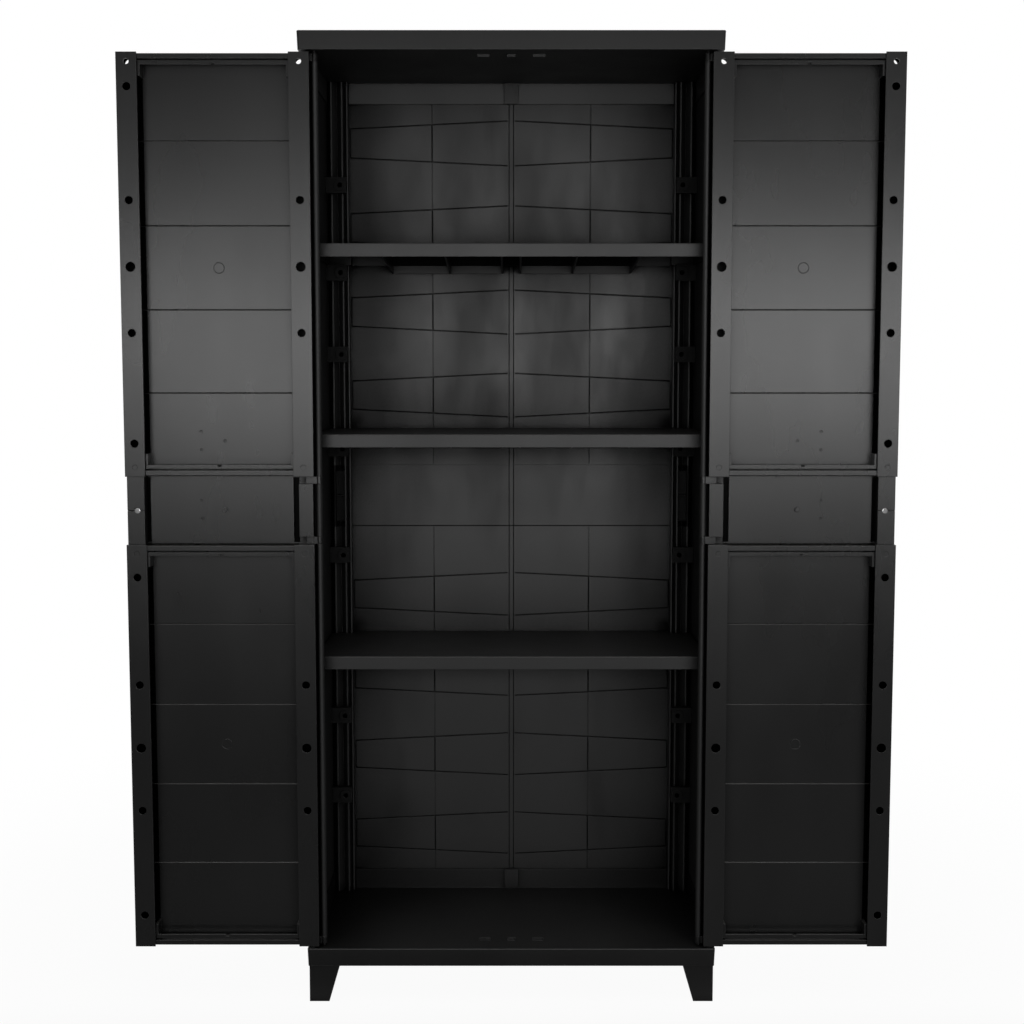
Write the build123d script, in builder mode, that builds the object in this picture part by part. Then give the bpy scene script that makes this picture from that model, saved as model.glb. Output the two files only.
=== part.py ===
"""Tall black plastic storage cabinet with two doors, shown with both doors swung fully open.

The front faces -Y, +X is to the right and +Z is up. The origin is on the floor under the middle
of the cabinet. All sizes are in millimetres.
"""
import os

from build123d import *

# Overall size of the closed cabinet
cabinet_width = 684
cabinet_depth = 346
cabinet_height = 1596

# Cover and base, two shallow trays, the cover a little narrower
cover_narrowing = 0.5
tray_height = 30
tray_wall = 5
tray_draft = 2.5
tray_corner = 4
tray_edge = 1.5
plate = 2.5
base_rib_drop = 20
base_rib_positions = (-200, -70, 70, 200)
rib_thickness = 3
collar_drop = 36
collar_wall = 3
collar_play = 1
catch_height = 4.5
catch_width = 14
catch_thickness = 6
nib_thickness = 4
nib_limits = (35, 55)
foot_height = 62
foot_top = 51
foot_bottom = 33
foot_inset = 3
foot_wall = 3
foot_sole = 6
foot_spigot = 36
foot_spigot_height = 22
foot_spigot_root = 4

# Doors
door_play = 3
door_setback = 3
door_thickness = 34
door_skin = 3.2
door_meeting_gap = 2
belt_height = 112
boards_per_leaf = 5
board_groove = 1.6
stile_width = 33
stile_wall = 2.5
stile_proud = 3
stile_overhang = 6
rail_height = 8
rail_drop = 2
strip_gap = 2.5
strip_height = 6.5
strip_leg = 18
strip_set_back = 5
strip_thickness = 3
strip_leg_thickness = 4
strip_notch = 6
strip_notch_height = 3
moulding_hole = 6.5
centre_hole = 7.8
near_hole = 106
far_hole_margin = 54
eye_radius = 4.5
eye_clearance_radius = 9
eye_margin = 15
mark_radius = 2.4
mark_depth = 1.2
mark_offset = 5
mark_reach = 39
mark_rise = 15
mark_height = 57
ring_radius = 9
ring_width = 0.8
blind_depth = 0.6

# Band between the two leaves of a door, with its lock eye and handle
belt_step = 7
belt_hinge_inset = 2
belt_free_inset = 2
belt_end_width = 28
belt_end_proud = 20
belt_end_slot = 6
belt_line = 1.5
belt_slot_width = 9.5
belt_boss_radius = 4
belt_boss_height = 4
lock_eye_inset = 18
lock_boss_height = 32
handle_inset = 50
handle_width = 16
handle_bar = 8
handle_stand_off = 6
handle_margin = 14
handle_edge = 3
handle_foot = 12

# Hinges
hinge_inset = 18.5
hinge_reach = 7
nose_radius = 5.5
web_width = 6
pin_radius = 2.5
pin_running_play = 0.1
pin_grip = 12
lug_height = 12
lug_play = 0.5
lug_thickness = 9
hinge_block_width = 23
notch_depth = 8

# Side walls
post_width = 17
post_depth = 15
panel_thickness = 4
side_overhang = 8
side_front_gap = 2
side_wall = 2.4
side_line_y = -20
side_line_width = 2
side_line_depth = 1
column_width = 38.5
column_depth = 22
column_step = 5
column_step_width = 8.5
column_bay_width = 19
column_crest = 2.4
flute_depth = 10
pocket_margin = 10

# Back wall, with a moulded pattern of slanting courses on its inner face
back_set_in = 8
back_skin = 3.6
back_thickness = 25
courses_per_panel = 4
course_pitch = 150
course_height = 79
course_margin = 65
course_slope = 14
course_joint_x = 142
course_line_width = 2.4
course_line_depth = 2
faint_line_width = 1.6
faint_line_depth = 0.5
joint_strip_width = 7
joint_strip_gap = 1.2
joint_strip_set_back = 0.5
joint_flange_width = 30
joint_flange_thickness = 2
clip_width = 25
clip_thickness = 4

# Shelves and the brackets that hold them up: heights above the floor, rises above the belt and drops
# below the belt or the ceiling
shelf_play = 2.5
shelf_lip = 22
shelf_front_gap = 3
shelf_edge = 1.5
shelf_rib_positions = (16, 110, 214)
shelf_rib_drop = 14
shelf_rib_front = 4
shelf_web_run = 20
shelf_web = 4
lower_shelf_height = 464
middle_shelf_rise = 45
upper_shelf_drop = 322
first_spare_height = 200
second_spare_height = 349
third_spare_drop = 36
fourth_spare_rise = 214
fifth_spare_drop = 168
bracket_height = 28
bracket_depth = 14
bracket_inset = 2
bracket_eye = 4.5
bracket_ring = 10
bracket_ring_height = 3
bracket_ring_inset = 13
front_rest_width = 10
front_rest_depth = 24

# Derived positions
front_y = -cabinet_depth / 2
back_y = cabinet_depth / 2
half_width = cabinet_width / 2
cover_width = cabinet_width - 2 * cover_narrowing
floor_z = foot_height + tray_height
ceiling_z = cabinet_height - tray_height
tray_inner_x = half_width - tray_wall
cover_inner_x = cover_width / 2 - tray_wall
tray_inner_y = cabinet_depth / 2 - tray_wall

door_bottom_z = floor_z + door_play
door_top_z = ceiling_z - door_play
leaf_height = (door_top_z - door_bottom_z - belt_height) / 2
far_hole = leaf_height / 2 - far_hole_margin
belt_bottom_z = door_bottom_z + leaf_height
belt_top_z = belt_bottom_z + belt_height

door_face_y = front_y + door_setback
door_outer_y = door_face_y + door_thickness
skin_inner_y = door_outer_y - door_skin
pivot_y = (door_face_y + door_outer_y) / 2

side_outer_x = half_width - side_overhang
post_inner_x = side_outer_x - post_width
panel_inner_x = side_outer_x - panel_thickness
pivot_x = side_outer_x - hinge_inset
hinge_edge_x = pivot_x + hinge_reach
free_edge_x = 2 * pivot_x - door_meeting_gap / 2
side_front_y = door_outer_y + side_front_gap
post_rear_y = side_front_y + post_depth
back_inner_y = back_y - back_set_in - back_thickness
back_outer_y = back_inner_y + back_thickness
column_front_y = back_inner_y - column_depth
column_inner_x = panel_inner_x - column_width
step_x = column_inner_x + column_step_width
second_crest_x = step_x + column_crest
bay_x = step_x + column_bay_width
third_crest_x = bay_x + column_crest
flute_y = column_front_y + flute_depth

stile_inner_hinge_x = hinge_edge_x + stile_width
stile_inner_free_x = free_edge_x - stile_width
leaf_middle_x = (stile_inner_hinge_x + stile_inner_free_x) / 2
mark_x = leaf_middle_x - mark_offset
belt_face_y = skin_inner_y - belt_step
belt_middle_z = (belt_bottom_z + belt_top_z) / 2
joint_gap_x = joint_strip_width / 2 + joint_strip_gap

lower_level = floor_z + lower_shelf_height
middle_level = belt_top_z + middle_shelf_rise
upper_level = ceiling_z - upper_shelf_drop
bracket_levels = (
    floor_z + first_spare_height,
    floor_z + second_spare_height,
    lower_level,
    belt_bottom_z - third_spare_drop,
    middle_level,
    belt_top_z + fourth_spare_rise,
    upper_level,
    ceiling_z - fifth_spare_drop,
)


def block(x, y, z, mode=Mode.ADD):
    """Rectangular block between the low and high limits given for each axis."""
    with Locations(((x[0] + x[1]) / 2, (y[0] + y[1]) / 2, (z[0] + z[1]) / 2)):
        Box(x[1] - x[0], y[1] - y[0], z[1] - z[0], mode=mode)


def upright(x, y, radius, z, mode=Mode.ADD):
    """Round bar or hole that stands upright between two heights."""
    with Locations((x, y, (z[0] + z[1]) / 2)):
        Cylinder(radius, z[1] - z[0], mode=mode)


def drilled(x, z, radius, y):
    """Round hole that runs from front to back between two depths."""
    with Locations((x, (y[0] + y[1]) / 2, z)):
        Cylinder(radius, y[1] - y[0], rotation=(90, 0, 0), mode=Mode.SUBTRACT)


def save(shape, name):
    shape.label = name
    export_step(shape, f"parts/{name}.step")


def save_pair(shape, name):
    """Saves the right-hand piece and its mirror image for the left."""
    save(mirror(shape, about=Plane.YZ), f"left_{name}")
    save(shape, f"right_{name}")


def tray_block(width, bottom_z):
    """Solid outline of the cover or the base, leaning in towards its lower edge."""
    with BuildSketch(Plane.XY.offset(bottom_z + tray_height)) as outline:
        RectangleRounded(width, cabinet_depth, tray_corner)
    extrude(outline.sketch, amount=-tray_height, taper=tray_draft)


def collar(low_z, high_z):
    """Upstand inside the walls: one run along each side and one along the back."""
    side_run = (post_rear_y + collar_play, column_front_y - collar_play)
    for sign in (-1, 1):
        edges = sorted((sign * (panel_inner_x - collar_wall), sign * panel_inner_x))
        block(edges, side_run, (low_z, high_z))
    reach = column_inner_x - collar_play
    block((-reach, reach), (back_inner_y - collar_wall, back_inner_y), (low_z, high_z))


def door_catches(low_z, high_z):
    """Central stop and two nibs that the closed doors rest against."""
    stop_y = (side_front_y, side_front_y + catch_thickness)
    nib_y = (side_front_y, side_front_y + nib_thickness)
    block((-catch_width / 2, catch_width / 2), stop_y, (low_z, high_z))
    for sign in (-1, 1):
        nib_x = sorted(sign * limit for limit in nib_limits)
        block(nib_x, nib_y, (low_z, high_z))


# Cover: top plate and skirt, open underneath
def make_cover():
    with BuildPart() as cover:
        tray_block(cover_width, ceiling_z)
        fillet(cover.faces().sort_by(Axis.Z)[-1].edges(), tray_edge)
        block(
            (-cover_inner_x, cover_inner_x),
            (-tray_inner_y, tray_inner_y),
            (ceiling_z, cabinet_height - plate),
            mode=Mode.SUBTRACT,
        )
    return cover.part


# Ceiling: flat plate that closes the cover, with its collar, catches and hinge bosses
def make_ceiling():
    with BuildPart() as ceiling:
        block(
            (-cover_inner_x, cover_inner_x),
            (-tray_inner_y, tray_inner_y),
            (ceiling_z, ceiling_z + plate),
        )
        collar(ceiling_z - collar_drop, ceiling_z)
        door_catches(ceiling_z - catch_height, ceiling_z)
        for sign in (-1, 1):
            upright(sign * pivot_x, pivot_y, nose_radius, (ceiling_z + plate, ceiling_z + pin_grip))
            bore = (ceiling_z, ceiling_z + pin_grip)
            upright(sign * pivot_x, pivot_y, pin_radius, bore, mode=Mode.SUBTRACT)
    return ceiling.part


# Base: floor plate and skirt, with ribs underneath
def make_base():
    rib_z = (floor_z - base_rib_drop, floor_z - plate)
    with BuildPart() as base:
        tray_block(cabinet_width, foot_height)
        fillet(base.faces().sort_by(Axis.Z)[-1].edges(), tray_edge)
        block(
            (-tray_inner_x, tray_inner_x),
            (-tray_inner_y, tray_inner_y),
            (foot_height, floor_z - plate),
            mode=Mode.SUBTRACT,
        )
        for x in base_rib_positions:
            block((x - rib_thickness / 2, x + rib_thickness / 2), (-tray_inner_y, tray_inner_y), rib_z)
        block((-tray_inner_x, tray_inner_x), (-rib_thickness / 2, rib_thickness / 2), rib_z)
        collar(floor_z, floor_z + collar_drop)
        door_catches(floor_z, floor_z + catch_height)
        for sign in (-1, 1):
            upright(sign * pivot_x, pivot_y, nose_radius, (floor_z - pin_grip, floor_z - plate))
            bore = (floor_z - pin_grip, floor_z)
            upright(sign * pivot_x, pivot_y, pin_radius, bore, mode=Mode.SUBTRACT)
    return base.part


# Foot: hollow leg that narrows on its two inner faces and plugs into a corner of the base
def make_foot(y_sign):
    outer_x = half_width - foot_inset
    outer_y = back_y - foot_inset

    def square(size, edge):
        x = (outer_x - size + edge, outer_x - edge)
        y = sorted((y_sign * (outer_y - size + edge), y_sign * (outer_y - edge)))
        return (x[0] + x[1]) / 2, (y[0] + y[1]) / 2, size - 2 * edge

    def leg(bottom_z, edge, mode):
        sections = []
        for height, size in ((bottom_z, foot_bottom), (foot_height, foot_top)):
            x, y, side = square(size, edge)
            with BuildSketch(Plane.XY.offset(height)) as section:
                with Locations((x, y)):
                    Rectangle(side, side)
            sections.append(section.sketch)
        loft(sections, mode=mode)

    with BuildPart() as foot:
        leg(0, 0, Mode.ADD)
        leg(foot_sole, foot_wall, Mode.SUBTRACT)
        spigot_x = (tray_inner_x - foot_spigot, tray_inner_x)
        spigot_y = sorted((y_sign * (tray_inner_y - foot_spigot), y_sign * tray_inner_y))
        spigot_z = (foot_height - foot_spigot_root, foot_height + foot_spigot_height)
        block(spigot_x, spigot_y, spigot_z)
        block(
            (spigot_x[0] + foot_wall, spigot_x[1] - foot_wall),
            (spigot_y[0] + foot_wall, spigot_y[1] - foot_wall),
            spigot_z,
            mode=Mode.SUBTRACT,
        )
    return foot.part


# Side wall: hollow extruded panel with a hinge post in front and a corner column behind
def rectangle(x, y, mode=Mode.ADD):
    """Flat rectangle between the low and high limits given for each axis."""
    with Locations(((x[0] + x[1]) / 2, (y[0] + y[1]) / 2)):
        Rectangle(x[1] - x[0], y[1] - y[0], mode=mode)


def fluted_column():
    """Corner column whose front is folded into flutes between narrow crests."""
    step_y = column_front_y + column_step
    first_crest_x = column_inner_x + column_crest
    Polygon(
        (column_inner_x, back_inner_y),
        (column_inner_x, step_y),
        (first_crest_x, step_y),
        ((first_crest_x + step_x) / 2, flute_y),
        (step_x, column_front_y),
        (second_crest_x, column_front_y),
        ((second_crest_x + bay_x) / 2, flute_y),
        (bay_x, column_front_y),
        (third_crest_x, column_front_y),
        (panel_inner_x, flute_y),
        (panel_inner_x, back_inner_y),
        align=None,
    )
    hollow_x = (column_inner_x + side_wall, panel_inner_x - side_wall)
    rectangle(hollow_x, (flute_y + side_wall, back_inner_y - side_wall), mode=Mode.SUBTRACT)


def side_profile(low_z, high_z):
    """One height of the side wall, from the nose of the hinge post to the back edge."""
    post_hollow_x = (post_inner_x + side_wall, side_outer_x - side_wall)
    post_hollow_y = (side_front_y + side_wall, post_rear_y - side_wall)
    line_y = (side_line_y - side_line_width / 2, side_line_y + side_line_width / 2)
    with BuildSketch(Plane.XY.offset(low_z)) as profile:
        rectangle((post_inner_x, side_outer_x), (side_front_y, post_rear_y))
        rectangle((panel_inner_x, side_outer_x), (side_front_y, back_outer_y))
        fluted_column()
        rectangle((pivot_x - web_width / 2, pivot_x + web_width / 2), (pivot_y, side_front_y))
        with Locations((pivot_x, pivot_y)):
            Circle(nose_radius)
        rectangle(post_hollow_x, post_hollow_y, mode=Mode.SUBTRACT)
        rectangle((panel_inner_x, panel_inner_x + side_line_depth), line_y, mode=Mode.SUBTRACT)
    extrude(profile.sketch, amount=high_z - low_z)


def post_notch(low_z, high_z):
    """Clears the nose of the hinge post where a door lug turns round the pin."""
    block(
        (pivot_x - nose_radius - 1, pivot_x + nose_radius + 1),
        (pivot_y - nose_radius - 1, pivot_y + notch_depth),
        (low_z, high_z),
        mode=Mode.SUBTRACT,
    )


def joint_groove(z):
    """Narrow groove along the outer face where two pieces of a side wall meet."""
    with Locations((side_outer_x, (side_front_y + back_outer_y) / 2, z)):
        Box(board_groove, cabinet_depth, board_groove, rotation=(0, 45, 0), mode=Mode.SUBTRACT)


def pin_hole(low_z, high_z):
    upright(pivot_x, pivot_y, pin_radius, (low_z, high_z), mode=Mode.SUBTRACT)


notch_height = lug_height + 2 * lug_play
top_notch_z = door_top_z - notch_height
bottom_notch_z = door_bottom_z + notch_height


def make_side_upper():
    with BuildPart() as side:
        side_profile(belt_top_z, ceiling_z)
        post_notch(top_notch_z, ceiling_z)
        pin_hole(top_notch_z - pin_grip, top_notch_z)
        pin_hole(belt_top_z, belt_top_z + pin_grip)
        joint_groove(belt_top_z)
    return side.part


def make_side_lower():
    with BuildPart() as side:
        side_profile(floor_z, belt_bottom_z)
        post_notch(floor_z, bottom_notch_z)
        pin_hole(bottom_notch_z, bottom_notch_z + pin_grip)
        pin_hole(belt_bottom_z - pin_grip, belt_bottom_z)
        joint_groove(belt_bottom_z)
    return side.part


# Side connector: the belt between the two wall panels, with a ribbed pocket in its column
def make_side_belt():
    pocket_x = (second_crest_x, bay_x)
    pocket_back_y = back_inner_y - side_wall
    pocket_z = (belt_bottom_z + pocket_margin, belt_top_z - pocket_margin)
    rib_z = (belt_middle_z - rib_thickness / 2, belt_middle_z + rib_thickness / 2)
    with BuildPart() as side:
        side_profile(belt_bottom_z, belt_top_z)
        post_notch(belt_top_z - notch_height, belt_top_z)
        post_notch(belt_bottom_z, belt_bottom_z + notch_height)
        pin_hole(belt_top_z - notch_height - pin_grip, belt_top_z - notch_height)
        pin_hole(belt_bottom_z + notch_height, belt_bottom_z + notch_height + pin_grip)
        block(pocket_x, (column_front_y, pocket_back_y), pocket_z, mode=Mode.SUBTRACT)
        block(pocket_x, (flute_y, pocket_back_y), rib_z)
        joint_groove(belt_top_z)
        joint_groove(belt_bottom_z)
    return side.part


# Back wall: half panels with a moulded pattern of slanting courses, and a plain belt between them
def back_shell(low_z, high_z):
    """Skin with a frame of flanges on the outer side."""
    edge_x = (joint_gap_x, panel_inner_x)
    block(edge_x, (back_inner_y, back_outer_y), (low_z, high_z))
    block(
        (edge_x[0] + side_wall, edge_x[1] - side_wall),
        (back_inner_y + back_skin, back_outer_y),
        (low_z + side_wall, high_z - side_wall),
        mode=Mode.SUBTRACT,
    )


def course(near_z, far_z):
    """Outline of one course, sunk into the inner face: two slanting lines, their end and a joint."""
    slope = course_slope if far_z > near_z else -course_slope
    inner_x = joint_gap_x + course_line_width
    outer_x = column_inner_x - course_line_width
    joint_z = slope * (course_joint_x - inner_x) / (outer_x - inner_x)
    lines = (
        ((inner_x, near_z), (outer_x, near_z + slope)),
        ((inner_x, far_z), (outer_x, far_z - slope)),
        ((outer_x, near_z + slope), (outer_x, far_z - slope)),
        ((course_joint_x, near_z + joint_z), (course_joint_x, far_z - joint_z)),
    )
    with BuildSketch(Plane.XZ.offset(-back_inner_y - course_line_depth)) as pattern:
        for first, last in lines:
            with BuildLine():
                Line(first, last)
            trace(line_width=course_line_width)
    extrude(pattern.sketch, amount=2 * course_line_depth, mode=Mode.SUBTRACT)


def make_back_half(low_z, high_z, start_z, direction):
    """Patterned panel; the courses follow each other from the start height in one direction."""
    faint_x = (course_joint_x - faint_line_width / 2, course_joint_x + faint_line_width / 2)
    faint_y = (back_inner_y, back_inner_y + faint_line_depth)
    with BuildPart() as back:
        back_shell(low_z, high_z)
        block(faint_x, faint_y, (low_z + side_wall, high_z - side_wall), mode=Mode.SUBTRACT)
        for index in range(courses_per_panel):
            near_z = start_z + direction * (course_margin + index * course_pitch)
            course(near_z, near_z + direction * course_height)
    return back.part


def make_back_belt():
    with BuildPart() as belt:
        back_shell(belt_bottom_z, belt_top_z)
    return belt.part


# Joint strip: upright profile that fills the seam between the two halves of the back
def make_joint_strip():
    web_x = (-joint_strip_width / 2, joint_strip_width / 2)
    flange_x = (-joint_flange_width / 2, joint_flange_width / 2)
    height = (floor_z, ceiling_z)
    with BuildPart() as strip:
        block(web_x, (back_inner_y + joint_strip_set_back, back_outer_y), height)
        block(flange_x, (back_outer_y, back_outer_y + joint_flange_thickness), height)
    return strip.part


# Clips: one at the top and one at the bottom of the seam, in front of the collars
def make_seam_clips():
    clip_x = (-clip_width / 2, clip_width / 2)
    clip_y = (back_inner_y - collar_wall - clip_thickness, back_inner_y - collar_wall)
    with BuildPart() as clips:
        block(clip_x, clip_y, (ceiling_z - collar_drop, ceiling_z))
        block(clip_x, clip_y, (floor_z, floor_z + collar_drop))
    return clips.part


# Shelf: lipped tray standing on the brackets, ribbed underneath
def make_shelf(level):
    reach = panel_inner_x - shelf_play
    notch_x = column_inner_x - shelf_play
    front = post_rear_y + shelf_front_gap
    back = back_inner_y - shelf_play
    notch_y = column_front_y - shelf_play
    top = level + shelf_lip

    def outline(inset):
        half = [
            (reach - inset, front + inset),
            (reach - inset, notch_y - inset),
            (notch_x - inset, notch_y - inset),
            (notch_x - inset, back - inset),
        ]
        return half + [(-x, y) for x, y in reversed(half)]

    outer_rib = shelf_rib_positions[-1]
    inner_rib = shelf_rib_positions[0]
    with BuildPart() as shelf:
        with BuildSketch(Plane.XY.offset(level)):
            Polygon(*outline(0), align=None)
        extrude(amount=shelf_lip)
        with BuildSketch(Plane.XY.offset(level)):
            Polygon(*outline(plate), align=None)
        extrude(amount=shelf_lip - plate, mode=Mode.SUBTRACT)
        block((-outer_rib, outer_rib), (back - plate, back), (level, top - plate), mode=Mode.SUBTRACT)
        with BuildSketch(Plane.YZ.offset(-outer_rib)):
            Polygon(
                (back - shelf_web_run, top - plate),
                (back - shelf_web_run + shelf_web, top - plate),
                (back, level),
                (back - shelf_web, level),
                align=None,
            )
        extrude(amount=2 * outer_rib)
        for position in shelf_rib_positions:
            for x in (-position, position):
                with BuildSketch(Plane.YZ.offset(x - rib_thickness / 2)):
                    Polygon(
                        (front + plate, top - plate),
                        (front + plate, level + shelf_rib_front),
                        (back - plate, level - shelf_rib_drop),
                        (back - plate, top - plate),
                        align=None,
                    )
                extrude(amount=rib_thickness)
        for low_x, high_x in ((-outer_rib, -inner_rib), (inner_rib, outer_rib)):
            block((low_x, high_x), (back - plate, back), (level - shelf_rib_drop, level))
        fillet(shelf.faces().sort_by(Axis.Y)[0].edges().group_by(Axis.Z)[-1], shelf_edge)
    return shelf.part


# Shelf brackets: hollow bars across the corner column, each with a ringed eye, and rests behind the post
def make_brackets():
    bar_x = (column_inner_x + bracket_inset, panel_inner_x)
    bar_y = (column_front_y - bracket_depth, column_front_y)
    hollow_x = (bar_x[0] + side_wall, bar_x[1] - side_wall)
    hollow_y = (bar_y[0] + side_wall, column_front_y)
    rest_x = (panel_inner_x - front_rest_width, panel_inner_x)
    rest_y = (post_rear_y, post_rear_y + front_rest_depth)
    ring_x = column_inner_x + bracket_ring_inset
    ring_y = bar_y[0] - bracket_ring_height / 2
    with BuildPart() as brackets:
        for level in bracket_levels:
            height = (level - bracket_height, level)
            middle = level - bracket_height / 2
            block(bar_x, bar_y, height)
            with Locations((ring_x, ring_y, middle)):
                Cylinder(bracket_ring, bracket_ring_height, rotation=(90, 0, 0))
            block(hollow_x, hollow_y, (height[0] + side_wall, height[1] - side_wall), mode=Mode.SUBTRACT)
            drilled(ring_x, middle, bracket_eye, (bar_y[0] - 2 * bracket_ring_height, column_front_y))
            block(rest_x, rest_y, height)
    return brackets.part


# Hinge pins: four upright pins on one axis for each door
def make_hinge_pins():
    mid_upper = (belt_top_z - notch_height - pin_grip, belt_top_z + pin_grip)
    mid_lower = (belt_bottom_z - pin_grip, belt_bottom_z + notch_height + pin_grip)
    with BuildPart() as pins:
        upright(pivot_x, pivot_y, pin_radius, (top_notch_z - pin_grip, ceiling_z + pin_grip))
        upright(pivot_x, pivot_y, pin_radius, mid_upper)
        upright(pivot_x, pivot_y, pin_radius, mid_lower)
        upright(pivot_x, pivot_y, pin_radius, (floor_z - pin_grip, bottom_notch_z + pin_grip))
    return pins.part


def hinge_lug(low_z, reach_x):
    """Ear with a running bore, reaching from the door edge to the hinge axis."""
    span = (low_z, low_z + lug_height)
    block(
        (pivot_x, reach_x),
        (pivot_y - lug_thickness / 2, pivot_y + lug_thickness / 2),
        span,
    )
    upright(pivot_x, pivot_y, nose_radius, span)
    upright(pivot_x, pivot_y, pin_radius + pin_running_play, span, mode=Mode.SUBTRACT)


# Door leaf: skin of five boards, with a rail and a small returned strip at each end
def gate_marks(low_z, face_y):
    """Three shallow dimples in a triangle."""
    for reach, rise in ((0, 0), (mark_reach, mark_rise), (mark_reach, -mark_rise)):
        drilled(mark_x + reach, low_z + rise, mark_radius, (face_y - mark_depth, face_y + mark_depth))


def make_leaf(low_z, eye_z, mark_z):
    board = leaf_height / boards_per_leaf
    rail_x = (stile_inner_hinge_x - stile_overhang, stile_inner_free_x + stile_overhang)
    rail_y = (door_face_y + stile_proud, skin_inner_y)
    leg_y = (door_face_y + strip_set_back, skin_inner_y)
    strip_y = (leg_y[0], leg_y[0] + strip_thickness)
    inner_x = (stile_inner_hinge_x, stile_inner_free_x)
    leg_x = (inner_x[0] + strip_leg_thickness, inner_x[1] - strip_leg_thickness)
    middle_z = low_z + leaf_height / 2
    with BuildPart() as leaf:
        block((hinge_edge_x, free_edge_x), (skin_inner_y, door_outer_y), (low_z, low_z + leaf_height))
        for index in range(1, boards_per_leaf):
            joint_z = low_z + index * board
            for face_y in (skin_inner_y, door_outer_y):
                with Locations((leaf_middle_x, face_y, joint_z)):
                    Box(free_edge_x, board_groove, board_groove, rotation=(45, 0, 0), mode=Mode.SUBTRACT)
        with Locations((leaf_middle_x, skin_inner_y, middle_z)):
            Cylinder(ring_radius, ring_width, rotation=(90, 0, 0), mode=Mode.SUBTRACT)
            Cylinder(ring_radius - ring_width, ring_width, rotation=(90, 0, 0))
        if mark_z is not None:
            gate_marks(mark_z, skin_inner_y)
        for end_z, inward in ((low_z, 1), (low_z + leaf_height, -1)):
            rail = sorted((end_z + inward * rail_drop, end_z + inward * (rail_drop + rail_height)))
            block(rail_x, rail_y, rail)
            strip_start = rail_drop + rail_height + strip_gap
            strip_end = strip_start + strip_height
            strip = sorted((end_z + inward * strip_start, end_z + inward * strip_end))
            block(inner_x, strip_y, strip)
            leg_z = sorted((end_z + inward * strip_start, end_z + inward * (strip_end + strip_leg)))
            block((inner_x[0], leg_x[0]), leg_y, leg_z)
            block((leg_x[1], inner_x[1]), leg_y, leg_z)
            notch_start = strip_end - strip_notch_height
            notch = sorted((end_z + inward * notch_start, end_z + inward * strip_end))
            notch_x = (leaf_middle_x - strip_notch / 2, leaf_middle_x + strip_notch / 2)
            block(notch_x, strip_y, notch, mode=Mode.SUBTRACT)
        if eye_z is not None:
            through_y = (skin_inner_y - door_skin, door_outer_y + door_skin)
            for stile_x in (hinge_edge_x + stile_width / 2, free_edge_x - stile_width / 2):
                drilled(stile_x, eye_z, eye_clearance_radius, through_y)
    return leaf.part


# Stile: hollow upright strip along one edge of a leaf, with moulding holes in its face and a flange
# that stands over the edge of the boards
def make_stile(low_z, edge_x, hole_offsets, eye_z, blind_z, lug_z):
    width = (edge_x, edge_x + stile_width)
    box = (edge_x, edge_x + stile_width - stile_overhang)
    if edge_x > leaf_middle_x:
        box = (edge_x + stile_overhang, edge_x + stile_width)
    height = (low_z, low_z + leaf_height)
    centre_x = edge_x + stile_width / 2
    centre_z = low_z + leaf_height / 2
    with BuildPart() as stile:
        block(width, (door_face_y, door_face_y + stile_wall), height)
        block(box, (door_face_y, skin_inner_y), height)
        block(
            (box[0] + stile_wall, box[1] - stile_wall),
            (door_face_y + stile_wall, skin_inner_y),
            (height[0] + stile_wall, height[1] - stile_wall),
            mode=Mode.SUBTRACT,
        )
        face = (door_face_y - stile_wall, door_face_y + 2 * stile_wall)
        for offset in hole_offsets:
            radius = centre_hole if offset == 0 else moulding_hole
            drilled(centre_x, centre_z + offset, radius, face)
        drilled(centre_x, blind_z, eye_radius, (face[0], door_face_y + blind_depth))
        if eye_z is not None:
            drilled(centre_x, eye_z, eye_radius, face)
        if lug_z is not None:
            hinge_lug(lug_z, edge_x + stile_wall)
    return stile.part


# Door belt: the band between the two leaves, hollowed on its outer side
belt_x = (hinge_edge_x + belt_hinge_inset, free_edge_x - belt_free_inset)
belt_end_x = belt_x[1] - belt_end_width
belt_slot_x = belt_x[0] + hinge_block_width + belt_line


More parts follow.
